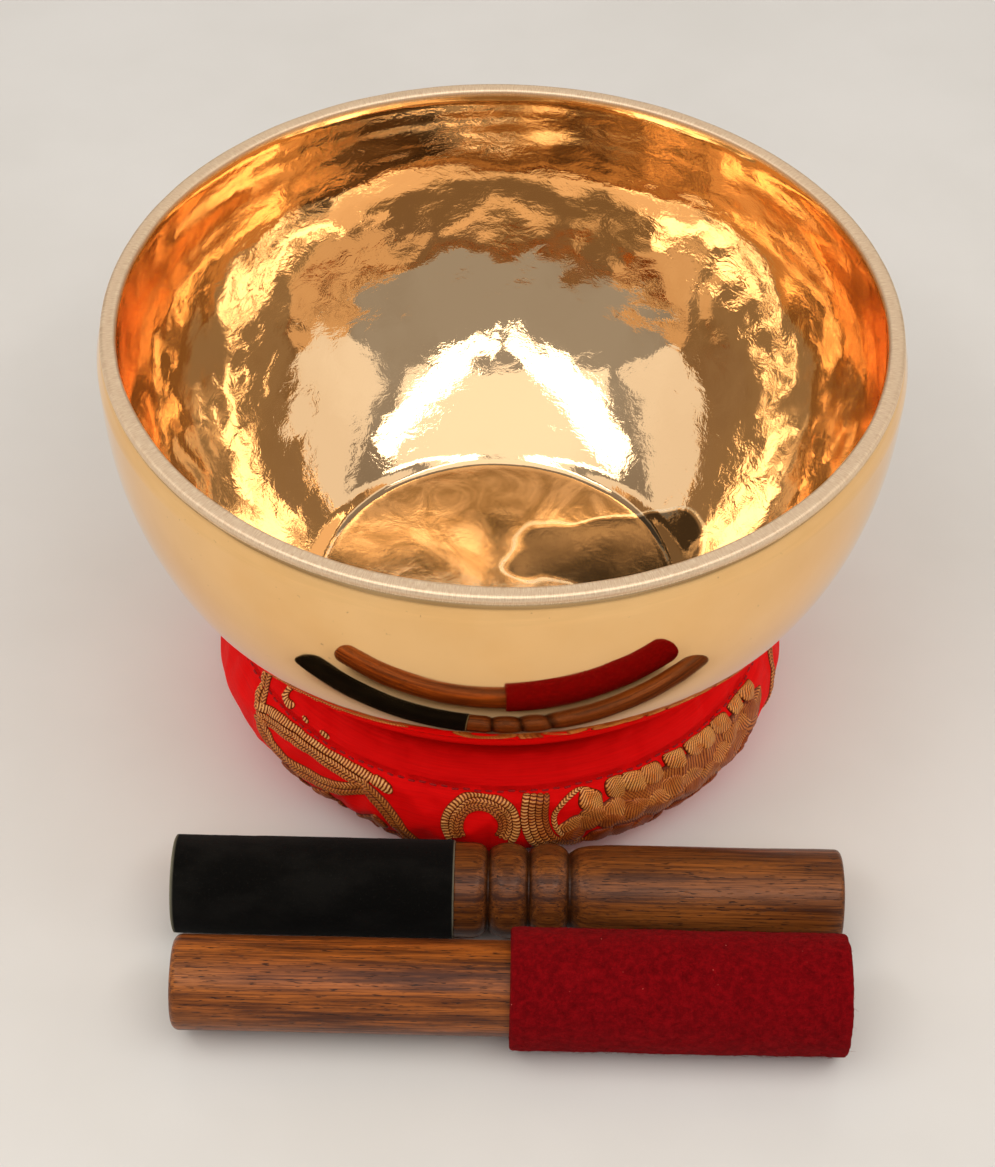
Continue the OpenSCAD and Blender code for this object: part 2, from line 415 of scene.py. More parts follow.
def thread_material():
    """Plain red sewing thread, a little darker than the silk."""
    r = Recipe("sewing_thread", Roughness=0.6, Specular_IOR_Level=0.3)
    twist = r.noise(r.place(), 2200, 2)
    colour = r.mix(r.spread(twist, 0.35, 0.65), (0.48, 0.004, 0.006), (0.26, 0.002, 0.004))
    return r.finish(Base_Color=colour, Normal=r.bump(twist, 0.08))


def floor_material():
    r = Recipe("studio_floor", Roughness=0.62, Specular_IOR_Level=0.3)
    soft = r.noise(r.place(), 9, 4, 0.55)
    colour = r.mix(r.spread(soft, 0.3, 0.7), (0.74, 0.725, 0.70), (0.78, 0.765, 0.745))
    return r.finish(Base_Color=colour)


# ---------------- bowl

def wall_curve(r1, z1, r0, z0, count=80):
    """The bowl's wall from its belly to its base, the same superellipse quarter as the CAD."""
    a = np.linspace(0, math.pi / 2, count)
    r = r0 + (r1 - r0) * np.cos(a) ** (2 / WALL_POWERS[0])
    z = z1 - (z1 - z0) * np.sin(a) ** (2 / WALL_POWERS[1])
    return list(zip(r, z))


def bowl_outline():
    """Four lines: the inside's floor from its middle, its wall, the rim's top, and the outside down to the
    middle of the base."""
    lean, floor_z = 2.6, base_z + wall + 0.2
    wall_line = wall_curve(belly_r - wall, belly_z, base_r - 1.2, base_z + wall)
    inner = [(r - lean * step(base_z + 78, rim_z - 4, z), z) for r, z in wall_line if r > bowl_floor_r + lean]
    floor = [(r, floor_z + (r / bowl_floor_r) ** 3) for r in np.linspace(0.3, bowl_floor_r, 20)]
    lip = [(rim_r - lip_w - 0.1, rim_z - 3.4), (rim_r - lip_w, rim_z - 1.1)]
    top = arc((rim_r - lip_w + 0.9, rim_z - 0.9), 0.9, 180, 90, 5)
    top += arc((rim_r - 1.1, rim_z - 1.1), 1.1, 90, 0, 6)
    groove = [(rim_r + 0.05, rim_z - 1.9), (rim_r - 0.35, rim_z - 2.5), (rim_r + 0.15, rim_z - 3.2)]
    outer = wall_curve(belly_r, belly_z, base_r, base_z)
    base = [(r, base_z + 0.8 * (1 - (r / base_r) ** 2)) for r in np.linspace(base_r - 1, 0.3, 12)]
    return floor, inner[::-1] + lip, top, groove + outer + base


def bowl_piece():
    floor, inner, top, outer = bowl_outline()
    rim_spacing = 0.45
    parts = [evenly(floor + inner[:1], 1.5)[:-1], evenly(inner, 1.5)[:-1],
             evenly(inner[-1:] + top + outer[:3], rim_spacing)[:-1], evenly(outer[2:], 1.7)]
    outline = np.concatenate(parts)
    rim_run = run_along(outline)[len(parts[0]) + len(parts[1])] + 8 * rim_spacing

    def relief(points, run, turn):
        inside = 1 - step(rim_run - 5, rim_run, run)
        outside = step(rim_run + 2, rim_run + 12, run)
        high = step(base_z + 60, base_z + 96, points[..., 2])
        low = 1 - step(base_z + 18, base_z + 50, points[..., 2])
        from_axis = np.hypot(points[..., 0], points[..., 1])
        on_floor = 1 - step(bowl_floor_r - 2, bowl_floor_r + 2, from_axis)
        middle = (1 - 0.8 * low) * (1 - 0.6 * high)
        hammered = dents(points, 19, 1, 13) * 0.80 + dents(points, (9, 9, 10), 2, 22) * 0.26
        swell = ripple(points, (28, 28, 24), 3) * 0.65 + ripple(points, (6, 6, 8), 12) * 0.06
        bands = ripple(points, (48, 48, 6.5), 4) * 0.20 + ripple(points, (22, 22, 3.2), 13) * 0.07
        wash = ripple(points, 30, 5) * 0.26 + ripple(points, 9, 6) * 0.05
        pool = ripple(points, 26, 7) * 0.30 + ripple(points, 11, 8) * 0.06
        within = middle * (hammered + swell) + high * bands + low * wash
        within = within * (1 - on_floor) + on_floor * pool
        without = ripple(points, (42, 42, 30), 9) * 0.16 + ripple(points, 14, 10) * 0.012
        uneven = ripple(points, 9, 11) * 0.07
        rim_band = np.clip(1 - inside - outside, 0, 1)
        return inside * within + outside * without + rim_band * uneven

    def values(points, run, turn):
        rim = step(rim_run - 4.4, rim_run - 3.6, run) * (1 - step(rim_run + 3.4, rim_run + 4.4, run))
        within = 1 - step(rim_run - 9, rim_run - 4, run)
        pool = 1 - step(bowl_floor_r - 3, bowl_floor_r, np.hypot(points[..., 0], points[..., 1]))
        stain_x, stain_y, stain_r = 42, 14, 25
        patch = stain_r - np.hypot((points[..., 0] - stain_x) / 1.35, (points[..., 1] - stain_y) / 0.8)
        patch += ripple(points, 24, 14) * 11 + ripple(points, 9, 15) * 4
        return {"rim": rim, "inside": within, "pool": pool * within,
                "stain": np.where(within > 0.5, patch, -50),
                "round_mm": np.stack([turn * rim_r, run, np.zeros_like(run)], -1)}

    piece = turned("bronze_bowl", outline, 440, bowl_foot, "Z", bronze_material(), relief, values)
    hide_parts("bowl")
    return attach(piece, "bowl")


# ---------------- studio

def look_at(target, place, roll=0.0):
    """A rotation that looks from place to target, turned about that line by roll degrees."""
    ahead = (Vector(target) - Vector(place)).normalized()
    right = ahead.cross(Vector((0, 0, 1))).normalized()
    up = right.cross(ahead)
    tilt = math.radians(roll)
    across = right * math.cos(tilt) + up * math.sin(tilt)
    above = up * math.cos(tilt) - right * math.sin(tilt)
    return Matrix((across, above, -ahead)).transposed().to_4x4()


def camera():
    """The camera stands in front of the player's side and looks 45 degrees down at the bowl's heel."""
    distance, elevation, target_height, roll = 812.4, 45.29, 36.7, 1.2
    up = math.radians(elevation)
    target = Vector((bowl_foot[0], bowl_foot[1], target_height)) * MM
    place = target + Vector((0, -math.cos(up), math.sin(up))) * distance * MM
    data = bpy.data.cameras.new("camera")
    data.sensor_width = 36
    data.lens = 77.1
    made = bpy.data.objects.new("camera", data)
    made.matrix_world = Matrix.Translation(place) @ look_at(target, place, roll)
    bpy.context.scene.collection.objects.link(made)
    bpy.context.scene.camera = made


def area_light(name, place, rotation, width, height, power, colour):
    """A rectangular softbox, its place in metres from the point on the floor under the bowl's axis."""
    data = bpy.data.lights.new(name, "AREA")
    data.shape = "RECTANGLE"
    data.size = width
    data.size_y = height
    data.energy = power
    data.color = colour
    made = bpy.data.objects.new(name, data)
    made.matrix_world = Matrix.Translation(Vector(bowl_foot) * MM + Vector(place)) @ rotation
    bpy.context.scene.collection.objects.link(made)


def softbox(name, place, aim, width, height, power, colour=(1.0, 0.95, 0.88)):
    """A softbox that faces the bowl's axis at the height aim, in metres."""
    area_light(name, place, look_at((0, 0, aim), place), width, height, power, colour)


def strip_light(name, start, end, width, power):
    """A long narrow softbox from one point to another, turned to face the bowl."""
    start, end = Vector(start), Vector(end)
    middle = (start + end) / 2
    ahead = (Vector((0, 0, 0.08)) - middle).normalized()
    across = ahead.cross((end - start).normalized()).normalized()
    rotation = Matrix((across, across.cross(ahead), -ahead)).transposed().to_4x4()
    area_light(name, middle, rotation, width, (end - start).length, power, (1.0, 0.97, 0.92))


def soft_world():
    """A dim warm room that is paler high up in front, for the polished inside to mirror."""
    world = bpy.data.worlds.new("studio")
    world.use_nodes = True
    room = Nodes(world.node_tree)
    where = room.node("TexCoord").outputs["Generated"]
    ahead = room.node("VectorMath", {"operation": "DOT_PRODUCT"})
    room.feed(ahead.inputs[0], where)
    room.feed(ahead.inputs[1], (0.0, -0.74, 0.67))
    cloud = room.node("TexNoise", Scale=2.4, Vector=where).outputs["Fac"]
    sway = room.math("MULTIPLY_ADD", cloud, 0.9, ahead.outputs["Value"])
    ramp = room.node("ValToRGB", Fac=room.math("MULTIPLY", sway, 0.72))
    ramp.color_ramp.interpolation = "EASE"
    dim, bright = ramp.color_ramp.elements
    dim.position = 0.60
    dim.color = (0.31, 0.28, 0.25, 1)
    bright.position = 1.0
    bright.color = (0.42, 0.42, 0.42, 1)
    room.feed(world.node_tree.nodes["Background"].inputs["Color"], ramp.outputs["Color"])
    bpy.context.scene.world = world


def studio():
    """The lights and the view. Light bounces many times inside the polished bowl."""
    soft_world()
    softbox("key", (0.0, -0.50, 1.80), 0.05, 2.4, 1.5, 11)
    strip_light("strip_left", (-0.06, -1.00, 0.92), (-0.82, -0.10, 1.12), 0.14, 2.2)
    strip_light("strip_right", (0.06, -1.00, 0.92), (0.82, -0.10, 1.12), 0.14, 2.2)
    softbox("back", (0.0, 1.3, 1.3), 0.05, 1.8, 0.6, 3.2, (1.0, 0.96, 0.9))
    softbox("left", (-1.7, 0.0, 0.95), 0.1, 2.0, 1.3, 5.8)
    softbox("right", (1.7, 0.0, 0.95), 0.1, 2.0, 1.3, 5.8)
    scene = bpy.context.scene
    scene.view_settings.view_transform = "Standard"
    scene.view_settings.exposure = 0.08
    scene.cycles.glossy_bounces = 12


def floor():
    """A square of plain floor under the whole set."""
    half, cells = 3000, 12
    side = np.linspace(-half, half, cells + 1)
    x, y = np.meshgrid(side, side, indexing="ij")
    at = np.arange(x.size).reshape(x.shape)
    quads = np.stack([at[:-1, :-1], at[1:, :-1], at[1:, 1:], at[:-1, 1:]], -1).reshape(-1, 4)
    points = np.stack([x, y, np.zeros_like(x)], -1)
    link("studio_floor", points, quads.tolist(), floor_material())


# ---------------- ring cushion

# the grid's columns and the spacing of its rows, and the angle of each seam round the section, in degrees
RING_COLUMNS = 320
RING_SPACING = 1.7
SEAMS = {"outer_seam": 33, "base_seam": -58, "hole_base_seam": -122, "hole_top_seam": -197}


def bowl_radius_at(z):
    """Outer radius of the bowl at a height, and of its flat base below that."""
    curve = np.array(wall_curve(belly_r, belly_z, base_r, base_z))[::-1]
    return np.interp(z, curve[:, 1], curve[:, 0])


def ring_reach(angle, gap=0.3):
    """How far the cushion's section reaches from its middle at an angle: to its own round outline, to the
    table, or to the bowl that presses a dish into it."""
    c, s = math.cos(angle), math.sin(angle)
    reach = (abs(c / ring_half_w) ** RING_POWER + abs(s / ring_half_h) ** RING_POWER) ** (-1 / RING_POWER)
    if s < 0:
        reach = min(reach, ring_mid_z / -s)
    else:
        steps = np.arange(4, reach, 0.05)
        r, z = ring_mid_r + steps * c, ring_mid_z + steps * s
        inside = (z > base_z - gap) & (r < bowl_radius_at(z) + gap * 1.4)
        if inside.any():
            reach = steps[np.argmax(inside)]
    return reach


def ring_section():
    """The closed section, from the outer seam down the side, under the base, up the hole and over the dish,
    with the rows of the four seams."""
    first = SEAMS["outer_seam"]
    start = math.radians(first)
    angles = start - np.arange(720) * TAU / 720
    reach = np.array([ring_reach(a) for a in angles])
    soft = np.exp(-0.5 * (np.arange(-16, 17) / 6.0) ** 2)
    soft /= soft.sum()
    reach = np.convolve(np.concatenate([reach[-16:], reach, reach[:16]]), soft, "valid")
    line = np.stack([ring_mid_r + reach * np.cos(angles), ring_mid_z + reach * np.sin(angles)], 1)
    section = evenly_closed(line, RING_SPACING)
    around = np.unwrap(np.arctan2(section[:, 1] - ring_mid_z, section[:, 0] - ring_mid_r))
    around = np.degrees(around - around[0]) + first
    rows = [int(np.argmin(abs(around - angle))) for angle in SEAMS.values()]
    return section, rows


def ring_points(section):
    """The cushion's grid of points, rows round the section and columns round the ring."""
    spoke = spokes(RING_COLUMNS)[1]
    return section[:, None, :1] * spoke + section[:, None, 1:] * np.array([0, 0, 1.0]) + ring_foot


def grid_normals(points):
    """Unit normals of a grid that is closed both ways, outward from the ring's section."""
    down = np.roll(points, -1, 0) - np.roll(points, 1, 0)
    across = np.roll(points, -1, 1) - np.roll(points, 1, 1)
    normal = np.cross(across, down)
    normal /= np.linalg.norm(normal, axis=2)[..., None]
    middle = points - ring_foot
    radius = np.linalg.norm(middle[..., :2], axis=2)[..., None]
    core = np.concatenate([middle[..., :2] / radius * ring_mid_r, np.full_like(radius, ring_mid_z)], -1)
    outward = ((middle - core) * normal).sum(-1)
    return normal * np.where(np.median(outward) > 0, 1.0, -1.0)


def cloth_solved(points, held, cap, frames=20, pressure=4.0):
    """The grid after a cloth solve with pressure and a little growth. Rows with held 1 stay, and the others
    move by at most their cap."""
    rows, columns = points.shape[:2]
    cloth = link("cushion_cloth", points, grid_faces(rows, columns, True), silk)
    group = cloth.vertex_groups.new(name="held")
    weight = np.repeat(held[:, None], columns, 1).ravel()
    for level in np.unique(weight):
        if level > 0:
            group.add(np.nonzero(weight == level)[0].tolist(), float(level), "REPLACE")
    modifier = cloth.modifiers.new("Cloth", "CLOTH")
    settings = modifier.settings
    settings.quality = 5
    settings.mass = 0.3
    settings.tension_stiffness = 18
    settings.compression_stiffness = 6
    settings.shear_stiffness = 5
    settings.bending_stiffness = 0.08
    settings.use_pressure = True
    settings.uniform_pressure_force = pressure
    settings.vertex_group_mass = "held"
    settings.shrink_min = -0.03
    settings.effector_weights.gravity = 0
    modifier.collision_settings.use_collision = False
    modifier.collision_settings.use_self_collision = False
    scene = bpy.context.scene
    for frame_number in range(1, frames + 1):
        scene.frame_set(frame_number)
    solved = cloth.evaluated_get(bpy.context.evaluated_depsgraph_get())
    flat = np.zeros(rows * columns * 3)
    solved.data.vertices.foreach_get("co", flat)
    scene.frame_set(1)
    bpy.data.objects.remove(cloth)
    moved = flat.reshape(points.shape) / MM - points
    far = np.linalg.norm(moved, axis=2)[..., None]
    return points + moved * np.minimum(1, cap[:, None, None] / np.maximum(far, 1e-6))


def kept_clear(points, gap=0.3):
    """The grid pushed out of the bowl, off the table and away from the suede mallet."""
    points = points.copy()
    for _ in range(3):
        out = points[..., :2] - bowl_foot[:2]
        radius = np.linalg.norm(out, axis=2)
        z = points[..., 2]
        limit = bowl_radius_at(z) + 1.3 * gap
        inside = (z > base_z - gap) & (radius < limit)
        below = z - (base_z - gap)
        beside = limit - radius
        sideways = inside & (beside < below)
        down = inside & ~sideways
        points[..., :2] += np.where(sideways, beside / np.maximum(radius, 1), 0)[..., None] * out
        points[..., 2] = np.where(down, base_z - gap, points[..., 2])
    points[..., 2] = np.maximum(points[..., 2], 0.0)
    stick = (suede_low + suede_high) / 2
    away = points[..., 1:] - stick[1:]
    distance = np.linalg.norm(away, axis=2)
    need = suede_r + gap
    push = np.where(distance < need, need / np.maximum(distance, 1e-6) - 1, 0)
    points[..., 1:] += push[..., None] * away
    return points


def seam_puckers(points, rows):
    """The crease along each seam, with short puckers that fade away from it."""
    count, columns = points.shape[:2]
    ring = spokes(columns)[1] * 100
    lift = np.zeros((count, columns))
    for number, row in enumerate(rows):
        away = np.arange(count) - row
        away = np.abs((away + count / 2) % count - count / 2) * RING_SPACING
        gathers = ripple(ring, 4.2, 20 + number) + 0.6 * ripple(ring, 9, 30 + number)
        lift += np.exp(-(away / 4.5) ** 2)[:, None] * gathers[None] * 0.30
        lift -= np.exp(-(away / 1.5) ** 2)[:, None] * 1.0
    return points + lift[..., None] * grid_normals(points)


class Cloth:
    """The cushion's finished skin, which the brocade and the stitches are laid on."""

    def __init__(self, points, rows):
        self.points, self.rows = points, rows
        self.normals = grid_normals(points)

    def at(self, x, y, height):
        """Points over the skin. x is the distance round the ring from its front, and y the distance down from
        the outer seam, both measured before the cloth moves."""
        count, columns = self.points.shape[:2]
        column = ((x / ring_r - math.pi / 2) % TAU) / TAU * columns
        row = (y / RING_SPACING) % count
        i, k = np.floor(row).astype(int), np.floor(column).astype(int)
        u, v = (row - i)[..., None], (column - k)[..., None]

        def blend(grid):
            near = grid[i % count, k % columns] * (1 - v) + grid[i % count, (k + 1) % columns] * v
            far = grid[(i + 1) % count, k % columns] * (1 - v) + grid[(i + 1) % count, (k + 1) % columns] * v
            return near * (1 - u) + far * u

        return blend(self.points) + blend(self.normals) * np.asarray(height)[..., None]


def cushion_piece():
    """The cushion's one closed skin. Only the side, and the crown outside the bowl, are free to move."""
    section, rows = ring_section()
    count = len(section)
    points = ring_points(section)
    side, base, hole, top = rows
    contact_r = base_r + 18
    contact = top + int(np.argmin(np.abs(section[top:, 0] - contact_r)))
    free = np.zeros(count)
    free[side + 1:base] = 1
    free[contact:] = 1
    free[contact:contact + 5] = np.linspace(0.1, 0.9, 5)
    outward = grid_normals(points)
    uneven = ripple(points, 9, 40) * 0.25 - 0.8
    cap = np.where(np.arange(count) >= contact, 0.9, 3.0)
    puffed = cloth_solved(points + outward * (uneven * free[:, None])[..., None], 1 - free, cap)
    puffed = kept_clear(seam_puckers(puffed, rows))
    across = np.repeat(spokes(RING_COLUMNS)[0][None] * ring_r, count, 0)
    down = np.repeat(np.arange(count)[:, None] * RING_SPACING, RING_COLUMNS, 1)
    mm = np.stack([across, down, np.zeros_like(down)], -1).reshape(-1, 3)
    faces = reversed_faces(grid_faces(count, RING_COLUMNS, True))
    piece = link("ring_cushion", puffed, faces, silk, {"cloth_mm": mm})
    piece.data.materials.append(base_silk)
    plain = [int(base * RING_COLUMNS <= face < top * RING_COLUMNS) for face in range(count * RING_COLUMNS)]
    piece.data.polygons.foreach_set("material_index", plain)
    smooth = piece.modifiers.new("finer", "SUBSURF")
    smooth.levels = 1
    smooth.render_levels = 1
    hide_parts("cushion_filling", "cushion_top_panel", "cushion_base_panel", "cushion_hole_panel")
    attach(piece, "cushion")
    return Cloth(puffed, rows)


# ---------------- brocade and stitches

REPEAT = math.pi * ring_r
RIB = 1.15


class Strips:
    """Closed raised strips of thread, gathered into one mesh that lies on the cushion's skin."""

    def __init__(self, cloth):
        self.cloth = cloth
        self.points, self.faces, self.ribs, self.tones = [], [], [], []
        self.total = 0

    def cut_at_seams(self, y):
        """y squeezed so that nothing on the side panel crosses the outer or the base seam."""
        low, high, soft = 0.7, self.cloth.rows[1] * RING_SPACING - 0.7, 0.5
        y = low + soft * np.logaddexp(0, (y - low) / soft)
        return high - soft * np.logaddexp(0, (high - y) / soft)

    def add(self, x, y, half_width, crown, slant, tone, across=9, pitch=RIB, sink=0.5, cut=False):
        """One strip along a line of (x, y) points, with slanted ribs on its crowned top. It is across points
        wide, reaches sink below the skin, and cut keeps it on the side panel."""
        line = np.stack([x, y], 1)
        run = run_along(line)
        side = left_normals(line)
        half = np.broadcast_to(np.asarray(half_width, float), run.shape)
        ends = np.sqrt(np.clip(np.minimum(run, run[-1] - run) / np.minimum(half, run[-1] / 3), 0.02, 1))
        u = np.linspace(-1, 1, across)
        offset = (half * ends)[:, None] * u[None]
        rib = 0.5 + 0.5 * np.sin((run[:, None] + slant * np.abs(offset)) * TAU / pitch)
        arch = np.sqrt(np.clip(1 - np.abs(u) ** 3.5, 0, 1))
        height = 0.05 + (crown * arch[None] + 0.16 * rib * arch[None]) * ends[:, None]
        # rib falls to 0 at the strip's edges, which the gold thread paints dark as shade
        rib = rib * (1 - step(0.78, 1.0, np.abs(u)))[None]
        where = line[:, None] + side[:, None] * offset[..., None]
        below = (half * ends)[:, None] * np.linspace(0.8, -0.8, max(2, across // 4))[None]
        where = np.concatenate([where, line[:, None] + side[:, None] * below[..., None]], 1)
        if cut:
            where[..., 1] = self.cut_at_seams(where[..., 1])
        height = np.concatenate([height, np.full(below.shape, -sink)], 1)
        rib = np.concatenate([rib, np.zeros(below.shape)], 1)
        points = self.cloth.at(where[..., 0], where[..., 1], height)
        rows, columns = points.shape[:2]
        self.points.append(points.reshape(-1, 3))
        self.faces += grid_faces(rows, columns, False, self.total)
        self.faces.append(list(range(self.total + columns - 1, self.total - 1, -1)))
        self.faces.append(list(range(self.total + (rows - 1) * columns, self.total + rows * columns)))
        self.ribs.append(rib.ravel())
        self.tones.append(np.full(rows * columns, tone))
        self.total += rows * columns

    def piece(self, name, material, slot):
        values = {"rib": np.concatenate(self.ribs), "tone": np.concatenate(self.tones)}
        made = link(name, np.concatenate(self.points), self.faces, material, values)
        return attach(made, "cushion")


def swept(points, spacing=0.25):
    """A smooth line through a few (x, y) points."""
    points = np.asarray(points, float)
    run = run_along(points)
    at = np.linspace(0, run[-1], max(4, round(run[-1] / 2)))
    line = np.stack([np.interp(at, run, points[:, k]) for k in range(2)], 1)
    for _ in range(max(1, len(at) // 4)):
        line[1:-1] = (line[:-2] + 2 * line[1:-1] + line[2:]) / 4
    return evenly(line, spacing)


def curl(centre, radius, start, end, squash=1.0):
    """An arc of a flattened circle, in (x, y)."""
    angles = np.radians(np.linspace(start, end, max(8, round(abs(end - start) * radius / 14))))
    line = [(centre[0] + radius * math.cos(a), centre[1] - squash * radius * math.sin(a)) for a in angles]
    return evenly(line, 0.25)


def rope_band(strips, line, ropes, tone, cut=True):
    """Ropes side by side along a line, each a (sideways place, half width, slant) triple and darker than the
    one before it."""
    side = left_normals(line)
    for number, (place, half, slant) in enumerate(ropes):
        rope = line + side * place
        crown = 0.30 + 0.15 * half
        strips.add(rope[:, 0], rope[:, 1], half, crown, slant, min(1, tone + 0.22 * number), cut=cut)


def petal(strips, x, y, length, width, angle, tone, crown):
    """One leaf-shaped petal, with chevron ribs on both sides of its middle."""
    t = np.linspace(0, 1, max(12, round(length / 0.3)))
    a = math.radians(angle)
    bend = 0.10 * length * np.sin(math.pi * t)
    along = t * length
    px = x + along * math.cos(a) - bend * math.sin(a)
    py = y - along * math.sin(a) - bend * math.cos(a)
    half = width / 2 * np.sin(math.pi * np.clip(t * 0.92 + 0.06, 0, 1)) ** 0.6
    strips.add(px, py, np.maximum(half, 0.15), crown, 0.5, tone, 11, 0.9, cut=True)


SPRAY_TOP = [(23, 10), (32, 6.5), (43, 3.5), (60, 1.2), (90, 1.2), (108, 4)]
SPRAY_BOTTOM = [(23, 10), (32, 17), (43, 21), (60, 26.5), (78, 27.5), (94, 21), (108, 8)]


def leaf_spray(strips, bands, shift):
    """A long leaf of overlapping scallops, cream along its upper edge and darker lower down."""
    top, bottom = np.array(SPRAY_TOP, float), np.array(SPRAY_BOTTOM, float)

    def edges(x):
        return np.interp(x, top[:, 0], top[:, 1]), np.interp(x, bottom[:, 0], bottom[:, 1])

    x = np.arange(24.5, 106, 0.3)
    upper, lower = edges(x)
    strips.add(x + shift, (upper + lower) / 2 + 0.6, (lower - upper) / 2 * 0.86, 0.25, 0.9, 0.7, 21, cut=True)
    rows = [(0.86, 0.95, 8.0, 196, 0.95), (0.62, 0.62, 7.4, 150, 0.70),
            (0.38, 0.34, 7.0, 172, 0.35), (0.14, 0.12, 7.6, 118, 0.0)]
    for number, (deep, crown, pitch, angle, tone) in enumerate(rows):
        count = round(76 / pitch)
        for k in range(count):
            x = 29 + 4 * (number % 2) + 76 * k / count
            upper, lower = edges(x)
            y = upper + deep * (lower - upper) + 2.0
            size = min(1.0, 0.35 + 0.09 * (lower - upper))
            petal(strips, x + shift, y, 10.5 * size, 8.2 * size, angle + 16 * math.sin(1.7 * k + number),
                  tone + 0.12 * (k % 2), 0.55 + 0.35 * crown)
    spine = swept([(26, 11), (44, 13.5), (64, 15.5), (86, 13.5), (106, 7)])
    rope_band(bands, spine + np.array([shift, 0]), [(0, 0.8, 0.9)], 0.45)
    edge = swept([(98, 30), (108, 23), (118, 13), (124, 2)])
    rope_band(bands, edge + np.array([shift, 0]), [(-0.9, 0.9, 0.9), (0.9, 0.9, -0.9)], 0.4)


def brocade_piece(cloth):
    """Gold motifs that repeat twice round the side: crossing bands, two curls, and a leaf spray."""
    bands, leaves = Strips(cloth), Strips(cloth)
    wide = [(-3.0, 1.6, 0.2), (-0.4, 1.0, 0.9), (1.4, 0.8, -0.9)]
    pair = [(-1.3, 1.3, 0.9), (1.2, 1.2, -0.9)]
    curled = [(-2.5, 1.3, 0.2), (-0.4, 0.9, 0.9), (1.2, 0.8, -0.9), (2.6, 0.7, 0.9)]
    fanned = [(3.9, 1.2, 0.2), (1.7, 1.1, 0.2), (-0.4, 1.1, 0.2), (-2.4, 1.0, 0.9)]
    leaf = [(0, 0.9, 0.9)]
    dot = [(0, 0.9, 0.2)]
    motifs = [
        (swept([(-90, 9), (-76, 4.6), (-62, 4.0), (-48, 4.6), (-40, 6.5)]), wide, 0.08, True),
        (swept([(-44, 6), (-37, 9), (-32, 15), (-27, 23), (-22, 33), (-20, 42)]), pair, 0.55, True),
        (swept([(-90, 9), (-80, 13.5), (-66, 15), (-53, 12.5), (-42, 8)]), pair, 0.4, True),
        (swept([(-88, 7), (-92, 1), (-94, -6), (-94, -13)]), pair, 0.15, False),
        (swept([(-41, 3.2), (-37, 3.0), (-32.5, 5.5)]), [(0, 1.9, 0.2)], 0.0, True),
        (curl((-79, -6.5), 3.6, 70, 320), [(0, 1.5, 0.2)], 0.0, False),
        (swept([(-71.5, -3), (-68.5, -2)]), dot, 0.0, False),
        (swept([(-63, -2.4), (-59, -1.8)]), dot, 0.0, False),
        (curl((-4.5, 12.2), 8.6, 218, -38, 1.04), curled, 0.12, True),
        (swept([(13.6, 0), (12.4, 8), (13.4, 16), (18.5, 23), (28, 27)]), fanned, 0.15, True),
        (swept([(27.5, 0.8), (22, 2.6), (17.6, 7), (17.2, 12), (20, 18), (27, 22.5)]), leaf, 0.05, True),
    ]
    for repeat in range(2):
        shift = repeat * REPEAT
        for line, ropes, tone, cut in motifs:
            rope_band(bands, line + np.array([shift, 0]), ropes, tone, cut)
        for k in range(9):
            x = 5.2 * k + shift
            petal(leaves, x - 76, 27 + 3.0 * math.sin(1.3 * k), 9, 6.4, 60 + 25 * (k % 3), 0.85, 0.7)
            petal(leaves, x - 70, 35 + 2.0 * math.sin(1.9 * k), 9, 5.4, 20 + 30 * (k % 2), 1.0, 0.6)
        leaf_spray(leaves, bands, shift)
    made = bands.piece("brocade_bands", gold, "silk_brocade")
    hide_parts("cushion_side_panel")
    leaves.piece("brocade_leaves", gold, "silk_brocade")


def stitch_piece(cloth, number, seam):
    """The running stitches of one seam."""
    row = cloth.rows[number]
    radius = np.linalg.norm((cloth.points[row] - ring_foot)[:, :2], axis=1).mean()
    count = round(TAU * radius / 3.4)
    step_x = TAU * ring_r / count
    y = row * RING_SPACING
    strips = Strips(cloth)
    for k in range(count):
        x = k * step_x + np.linspace(0, 0.68 * step_x, 7)
        strips.add(x, np.full(7, y + 0.12 * (-1) ** k), 0.36, 0.34, 0, 0, 5, 50.0, 0.35)
    made = strips.piece(seam + "_stitches", thread, "sewing_thread")
    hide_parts(seam + "_thread")


# ---------------- mallets

def left_end(low, high):
    """The middle of a box's left face, where a mallet part's axis starts."""
    return (low + high) / 2 * (0, 1, 1) + low * (1, 0, 0)


def wood_relief(points, run, turn):
    """Faint tool lines and an uneven surface."""
    return ripple(points, (1.6, 40, 40), 50) * 0.025 + ripple(points, (30, 9, 9), 51) * 0.05


def bead_line(start, width, radius, depth):
    """One turned bead, from the groove before it to the groove after it."""
    half = width / 2
    a = np.linspace(math.pi, 0, 19)
    return [(radius - depth * (1 - abs(math.sin(t)) ** 1.2), start + half * (1 + math.cos(t))) for t in a]


